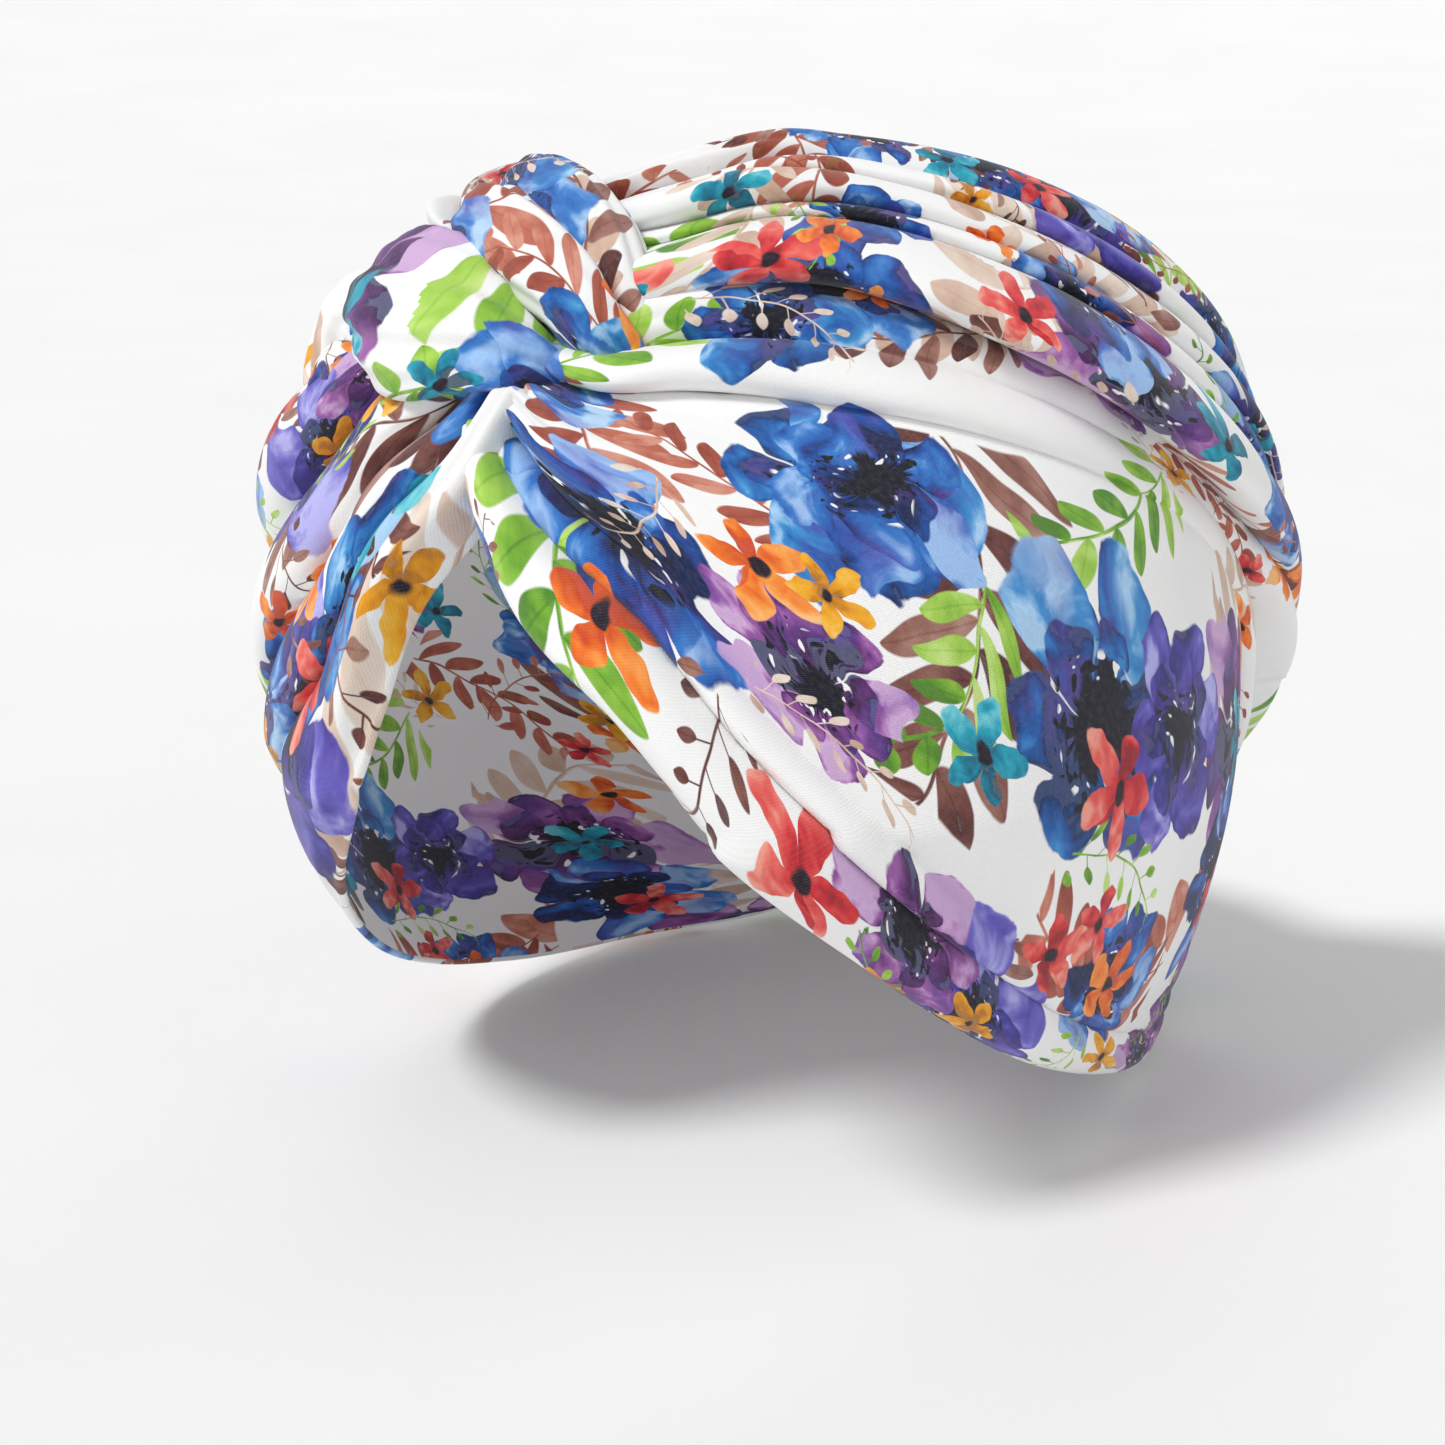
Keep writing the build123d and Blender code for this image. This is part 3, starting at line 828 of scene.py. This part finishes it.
ELASTIC_FACE_ROWS = 130
ELASTIC_TURN_ROWS = 4
RIB_PITCH = 2.0
RIB_HEIGHT = 0.12
STITCH_COUNT = 15
STITCH_ANGLE = 36.5
STITCH_HALF_LENGTH = 1.5
STITCH_RADIUS = 0.32
STITCH_DIP = 2.2
STITCH_ROWS = 13
STITCH_SIDES = 10


def casing_point(angle, height, lift):
    """Points round the back of the head, at angles in degrees from straight back."""
    angle = np.radians(angle)
    radius = CASING_RADIUS + lift + (height - CASING_MID_HEIGHT) * sin(radians(CASING_LEAN))
    across, back = radius * np.sin(angle), CASING_CENTRE_Y + radius * np.cos(angle)
    return np.stack(np.broadcast_arrays(across, back, height), -1)


def flat_tube(half_width, half_depth, face_rows, turn_rows):
    """Once round a flattened tube: how far up and how far out each point is, from the foot of the
    outer face to its top, over the fold, down the inner face and under the lower fold."""
    straight = half_width - half_depth
    face = np.linspace(-straight, straight, face_rows)
    bend = np.linspace(pi / 2, -pi / 2, turn_rows + 2)[1:-1]
    fold_up, fold_out = straight + half_depth * np.cos(bend), half_depth * np.sin(bend)
    upwards = np.concatenate([face, fold_up, -face, -fold_up])
    outwards = np.concatenate(
        [np.full(face_rows, half_depth), fold_out, np.full(face_rows, -half_depth), -fold_out]
    )
    return upwards, outwards


def casing_surface():
    """The ruched casing as a closed grid."""
    angle = np.linspace(-CASING_HALF_ANGLE, CASING_HALF_ANGLE, CASING_ROWS_ROUND)[:, None]
    upwards, outwards = flat_tube(CASING_HALF_WIDTH, CASING_HALF_DEPTH, CASING_FACE_ROWS, CASING_TURN_ROWS)
    part = upwards / CASING_HALF_WIDTH
    place = np.radians(angle) * PUFFS_ROUND
    puffs = gathers(place, part[None] * 1.6, 5)
    frill = gathers(place, 0 * part[None] + 2.0, 6) - 0.5
    height = CASING_MID_HEIGHT + upwards[None] + FRILL_HEIGHT * frill * np.abs(part) ** 3 * np.sign(part)
    outer = ease(outwards, -CASING_HALF_DEPTH, CASING_HALF_DEPTH)[None]
    puffing = outer * (puffs - 0.45) + 0.25 * (1 - outer) * puffs
    lift = CASING_MID_LIFT + outwards[None] + GATHER_HEIGHT * puffing
    steps = np.hypot(np.diff(upwards), np.diff(outwards))
    over = np.concatenate([[0], np.cumsum(steps)])[None]
    round_way = (angle / CASING_HALF_ANGLE + 1) / 2 * CASING_CLOTH_LENGTH
    cloth = np.stack(np.broadcast_arrays(round_way, over), -1)
    return casing_point(angle, height, lift), cloth


def elastic_surface():
    """The flat elastic inside the casing as a closed grid, with ribs along it."""
    angle = np.linspace(-ELASTIC_HALF_ANGLE, ELASTIC_HALF_ANGLE, ELASTIC_ROWS_ROUND)[:, None]
    upwards, outwards = flat_tube(
        ELASTIC_HALF_WIDTH, ELASTIC_HALF_THICKNESS, ELASTIC_FACE_ROWS, ELASTIC_TURN_ROWS
    )
    ribs = RIB_HEIGHT * np.cos(upwards * (2 * pi / RIB_PITCH)) * np.sign(outwards)
    height = CASING_MID_HEIGHT + upwards[None] + 0 * angle
    cloth = np.stack(np.broadcast_arrays(np.radians(angle) * CASING_RADIUS, upwards[None]), -1)
    return casing_point(angle, height, ELASTIC_LIFT + outwards + ribs), cloth


def stitch_surface(middle, heading, outwards):
    """One stitch: a short rounded thread that dips into the cloth at both ends, as a closed grid."""
    place = np.linspace(-1, 1, STITCH_ROWS)[:, None]
    turn = np.linspace(0, TWO_PI, STITCH_SIDES, endpoint=False)[None]
    sideways = np.cross(heading, outwards)
    radius = STITCH_RADIUS * np.sqrt(np.maximum(1 - place**6, 0.01))
    rise = STITCH_RADIUS * (1 - STITCH_DIP * place**4)
    points = (
        middle
        + heading * (place * STITCH_HALF_LENGTH)[..., None]
        + outwards * (radius * np.sin(turn) + rise)[..., None]
        + sideways * (radius * np.cos(turn) + 0 * place)[..., None]
    )
    twist = np.broadcast_arrays(place * STITCH_HALF_LENGTH, turn * STITCH_RADIUS)
    return points, np.stack(twist, -1)


def seam_stitches(side, casing_grid):
    """A row of stitches on the casing's outer face, where a strip's gathered end is sewn in."""
    row = int((side * STITCH_ANGLE / CASING_HALF_ANGLE + 1) / 2 * (CASING_ROWS_ROUND - 1))
    outer = casing_grid[:, :CASING_FACE_ROWS]
    outwards = outwards_from(outer)
    grids, cloths = [], []
    for place in np.linspace(2, CASING_FACE_ROWS - 3, STITCH_COUNT).astype(int):
        heading = unit(outer[row, place + 2] - outer[row, place - 2])
        grid, cloth = stitch_surface(outer[row, place], heading, outwards[row, place])
        grids.append(grid)
        cloths.append(cloth)
    return grids, cloths


def thread_material():
    """Twisted sewing thread, darker in the grooves of its twist as painted shade."""
    material = bpy.data.materials.new("sewing_thread")
    material.use_nodes = True
    tree = material.node_tree
    shader = tree.nodes["Principled BSDF"]
    source = tree.nodes.new("ShaderNodeTexCoord")
    x, y, z = split(tree, source.outputs["Object"])
    twist = ((x + y + z) * (TWO_PI / (0.5 * MM)) + (z - x) * (TWO_PI / (0.9 * MM))).sine()
    tint, _, _ = noise(x, y, z, 900.0, 2.0)
    # Darker in the grooves of the twist, as painted shade, and paler at random with the tint.
    colour = paint((0.74, 0.74, 0.76, 1), (0.90, 0.90, 0.89, 1), (twist * 0.3 + tint).clamped())
    join(tree, colour, shader.inputs["Base Color"])
    relief = tree.nodes.new("ShaderNodeBump")
    relief.inputs["Strength"].default_value = 0.5
    relief.inputs["Distance"].default_value = 0.00008
    join(tree, twist, relief.inputs["Height"])
    tree.links.new(relief.outputs[0], shader.inputs["Normal"])
    join(tree, tint * 0.2 + 0.45, shader.inputs["Roughness"])
    shader.inputs["Sheen Weight"].default_value = 0.3
    return material


def elastic_material():
    """Woven elastic: ribs along the band, fine threads across it, and painted shade in their grooves."""
    material = bpy.data.materials.new("woven_elastic")
    material.use_nodes = True
    tree = material.node_tree
    shader = tree.nodes["Principled BSDF"]
    x, y, _ = attribute(tree, "cloth")
    ribs = (y * (TWO_PI / RIB_PITCH)).sine()
    threads = (x * (TWO_PI / 0.8)).sine() * (y * (TWO_PI / 0.5)).sine()
    wear, _, _ = noise(x, y, 0.0, 0.4, 3.0)
    # Darker in the grooves between ribs and threads, as painted shade, and lighter or darker at random with
    # wear.
    groove_shade_and_wear = (ribs * 0.3 + threads * 0.15 + wear).clamped()
    colour = paint((0.62, 0.62, 0.63, 1), (0.86, 0.86, 0.85, 1), groove_shade_and_wear)
    join(tree, colour, shader.inputs["Base Color"])
    relief = tree.nodes.new("ShaderNodeBump")
    relief.inputs["Strength"].default_value = 0.6
    relief.inputs["Distance"].default_value = 0.0002
    join(tree, ribs + threads * 0.5, relief.inputs["Height"])
    tree.links.new(relief.outputs[0], shader.inputs["Normal"])
    join(tree, wear * 0.2 + 0.6, shader.inputs["Roughness"])
    return material


# ---------------------------------------------------------------- the pieces
ROLL_PRINT_START = np.array([5.0, 90.0])
ROLL_PRINT_STRIDE = np.array([37.0, 53.0])
CASING_PRINT = (60.0, 130.0)
printed = cloth_material()
thread = thread_material()


def finish_cloth(piece, shift):
    """Prints a cloth piece, with the repeat shifted by so many mm."""
    place_motifs(piece, shift)
    piece.data.materials.append(printed)


# Each strip: its edges, its folds, its seed and how far its print is shifted
sides = {
    "left": (LEFT_LOWER, LEFT_UPPER, LEFT_FOLDS, 3, (40.0, 80.0)),
    "right": (RIGHT_LOWER, RIGHT_UPPER, RIGHT_FOLDS, 8, (120.0, 10.0)),
}
for side, (lower, upper, folds, seed, shift) in sides.items():
    face_grid, face_cloth = strip_face(lower, upper, folds, seed)
    face = mesh_from_grids(f"{side}_strip_face", [face_grid], [face_cloth])
    finish_cloth(face, shift)
    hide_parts(f"{side}_face_panel")
    lining_grid, lining_cloth = strip_lining(lower, upper, seed + 20)
    lining = mesh_from_grids(f"{side}_strip_lining", [lining_grid], [lining_cloth])
    finish_cloth(lining, shift[::-1])
    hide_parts(f"{side}_lining")
    for piece in (face, lining):
        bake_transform(piece)

for number, (name, crest, seed) in enumerate(KNOT_ROLLS):
    grid, cloth = roll_surface(crest, seed)
    roll = mesh_from_grids(f"knot_roll_{name}", [grid], [cloth], closed=True)
    finish_cloth(roll, ROLL_PRINT_START + ROLL_PRINT_STRIDE * number)
    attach(roll, "root")

casing_grid, casing_cloth = casing_surface()
casing = mesh_from_grids("elastic_casing_cloth", [casing_grid], [casing_cloth], closed=True)
finish_cloth(casing, CASING_PRINT)
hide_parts("elastic_casing")
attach(casing, "back")

elastic_grid, elastic_cloth = elastic_surface()
elastic = mesh_from_grids("woven_elastic", [elastic_grid], [elastic_cloth], closed=True)
elastic.data.materials.append(elastic_material())
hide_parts("back_elastic")
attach(elastic, "back")

for side, sign in (("left", 1), ("right", -1)):
    grids, cloths = seam_stitches(sign, casing_grid)
    stitches = mesh_from_grids(f"{side}_seam_thread", grids, cloths, closed=True)
    stitches.data.materials.append(thread)
    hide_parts(f"{side}_end_seam")
    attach(stitches, "back")
    tack = bpy.data.objects[f"{side}_elastic_tack"]
    for slot in tack.material_slots:
        slot.material = thread

# ---------------------------------------------------------------- stage
CAMERA_AZIMUTH = 27.0
CAMERA_ELEVATION = 14.0
CAMERA_DISTANCE = 512.0
CAMERA_LENS = 72.2
SENSOR_WIDTH = 36.0
TARGET_RIGHT = -7.75
TARGET_UP = -5.0
FLOOR_GAP = 0.002
FLOOR_RADIUS = 1.6
RIM_REACH = 5.0
RIM_HEIGHT = 2.6
# The lights: name, the place each shines from, its strength and its spread in degrees
SUNS = [
    ("key", (-0.5, -1.1, 1.5), 2.2, 14),
    ("fill", (1.5, -0.8, 0.6), 0.35, 50),
    ("behind", (-0.5, 1.6, 1.0), 0.5, 50),
]
WORLD_STRENGTH = 0.44


def floor_material():
    """Pale matt paper with a faint mottle."""
    material = bpy.data.materials.new("pale_paper")
    material.use_nodes = True
    tree = material.node_tree
    shader = tree.nodes["Principled BSDF"]
    source = tree.nodes.new("ShaderNodeTexCoord")
    x, y, z = split(tree, source.outputs["Object"])
    mottle, _, _ = noise(x, y, z, 6.0, 4.0)
    join(tree, paint((0.80, 0.80, 0.80, 1), (0.86, 0.86, 0.855, 1), mottle), shader.inputs["Base Color"])
    join(tree, mottle * 0.1 + 0.8, shader.inputs["Roughness"])
    return material


def seamless_floor():
    """A round floor whose rim curves up, so that no edge of it shows."""
    bend = np.linspace(0, pi / 2, 24)
    radii = np.concatenate([[0, 0.4], FLOOR_RADIUS + RIM_REACH * np.sin(bend)])
    heights = np.concatenate([[0, 0], RIM_HEIGHT * (1 - np.cos(bend))])
    turn = np.linspace(0, 2 * pi, 96, endpoint=False)
    grid = np.stack(
        [radii[:, None] * np.cos(turn), radii[:, None] * np.sin(turn), heights[:, None] + 0 * turn], -1
    )
    cloth = grid[..., :2]
    floor = mesh_from_grids("floor", [grid / MM], [cloth], closed=True)
    floor.location.z = cad_box[0][2] - FLOOR_GAP
    floor.data.materials.append(floor_material())


def soft_sun(name, place, strength, spread):
    """Even light from the direction of a place, soft over an angle in degrees."""
    light = bpy.data.lights.new(name, "SUN")
    light.energy = strength
    light.angle = radians(spread)
    lamp = bpy.data.objects.new(name, light)
    lamp.location = place
    lamp.rotation_euler = Vector(place).to_track_quat("Z", "Y").to_euler()
    bpy.context.scene.collection.objects.link(lamp)


seamless_floor()
azimuth, elevation = radians(CAMERA_AZIMUTH), radians(CAMERA_ELEVATION)
backwards = Vector((sin(azimuth) * cos(elevation), -cos(azimuth) * cos(elevation), sin(elevation)))
rightwards = Vector((cos(azimuth), sin(azimuth), 0))
target = (rightwards * TARGET_RIGHT + Vector((0, 0, TARGET_UP))) * MM
camera = bpy.data.objects.new("camera", bpy.data.cameras.new("camera"))
camera.data.lens = CAMERA_LENS
camera.data.sensor_width = SENSOR_WIDTH
camera.data.clip_start = 0.01
turn = Matrix((rightwards, backwards.cross(rightwards), backwards)).transposed().to_4x4()
camera.matrix_world = Matrix.Translation(target + backwards * CAMERA_DISTANCE * MM) @ turn
bpy.context.scene.collection.objects.link(camera)
bpy.context.scene.camera = camera

for name, place, strength, spread in SUNS:
    soft_sun(name, place, strength, spread)

world = bpy.data.worlds.new("studio")
world.use_nodes = True
world.node_tree.nodes["Background"].inputs["Color"].default_value = (1, 1, 1, 1)
world.node_tree.nodes["Background"].inputs["Strength"].default_value = WORLD_STRENGTH
bpy.context.scene.world = world
bpy.context.scene.view_settings.view_transform = "Standard"
